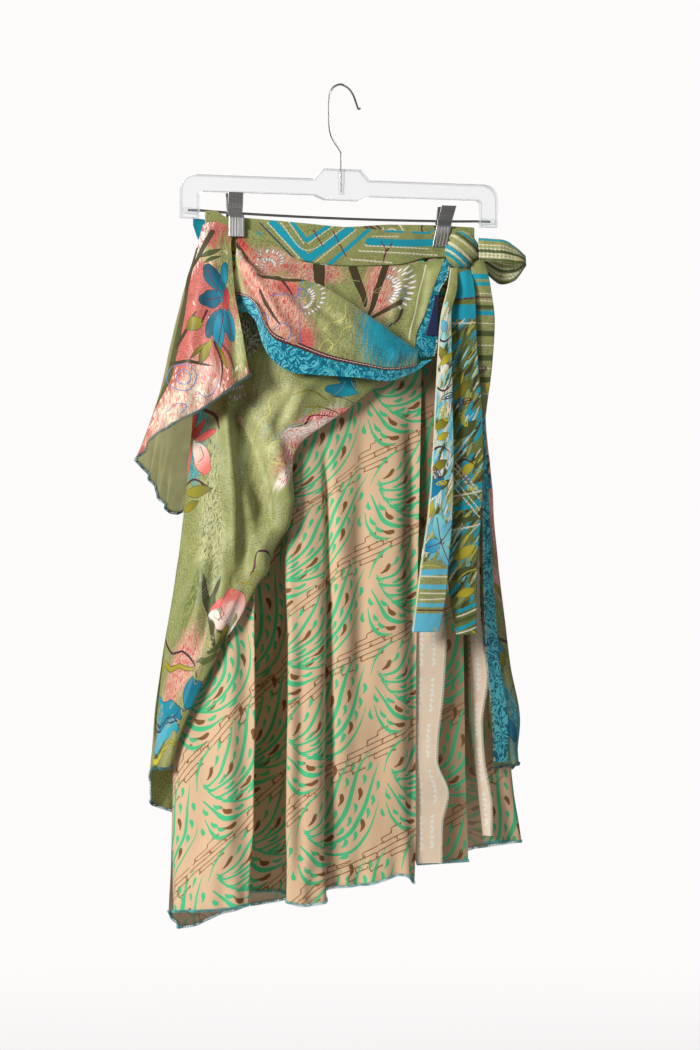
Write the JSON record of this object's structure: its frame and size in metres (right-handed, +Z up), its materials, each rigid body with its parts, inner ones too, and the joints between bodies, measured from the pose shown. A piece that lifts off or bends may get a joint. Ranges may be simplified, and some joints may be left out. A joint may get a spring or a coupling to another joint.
{
  "type": "wrap skirt on a clear clip hanger",
  "caption": "Layered silk wrap skirt with a draped printed outer layer, a longer patterned under layer and tied sash ends, held flat by the clips of a clear trouser hanger.",
  "frame": {"origin": "inside of the hook's top, where the hook bears on a rail", "axes": "+Z up, the skirt's front faces -Y, +X to the right of a viewer who faces the front"},
  "size_m": [0.4359, 0.1238, 0.9094],
  "materials": {
    "printed_satin": "olive floral silk satin",
    "printed_crepe": "tan silk crepe with green plumes",
    "pale_reverse": "pale unprinted reverse of the crepe",
    "border_silk": "turquoise patterned silk",
    "woven_label": "bare navy woven tape",
    "clear_plastic": "clear moulded plastic",
    "bright_metal": "bright plated steel"
  },
  "bodies": {
    "root": {"hanger_bar": "clear_plastic", "hanger_rod": "bright_metal", "hanger_hook": "bright_metal", "clip_left_front": "bright_metal", "clip_left_back": "bright_metal", "clip_right_front": "bright_metal", "clip_right_back": "bright_metal", "waistband_front": "printed_satin", "waistband_back": "printed_satin", "waistband_end": "border_silk", "inner_front": "printed_crepe", "inner_back": "printed_crepe", "inner_under": "printed_crepe", "inner_turn": "pale_reverse", "inner_edge": "pale_reverse", "outer_drape": "printed_satin", "outer_back": "printed_satin", "right_border": "border_silk", "outer_yoke": "printed_satin", "edge_border": "border_silk", "label": "woven_label", "outer_swag": "printed_satin", "swag_border": "border_silk", "outer_flap": "printed_satin", "outer_flap_under": "printed_satin", "tie_front": "printed_satin", "tie_back": "printed_satin", "tie_fall": "printed_satin", "tie_loop": "printed_satin", "tie_knot": "printed_satin"}
  },
  "joints": []
}
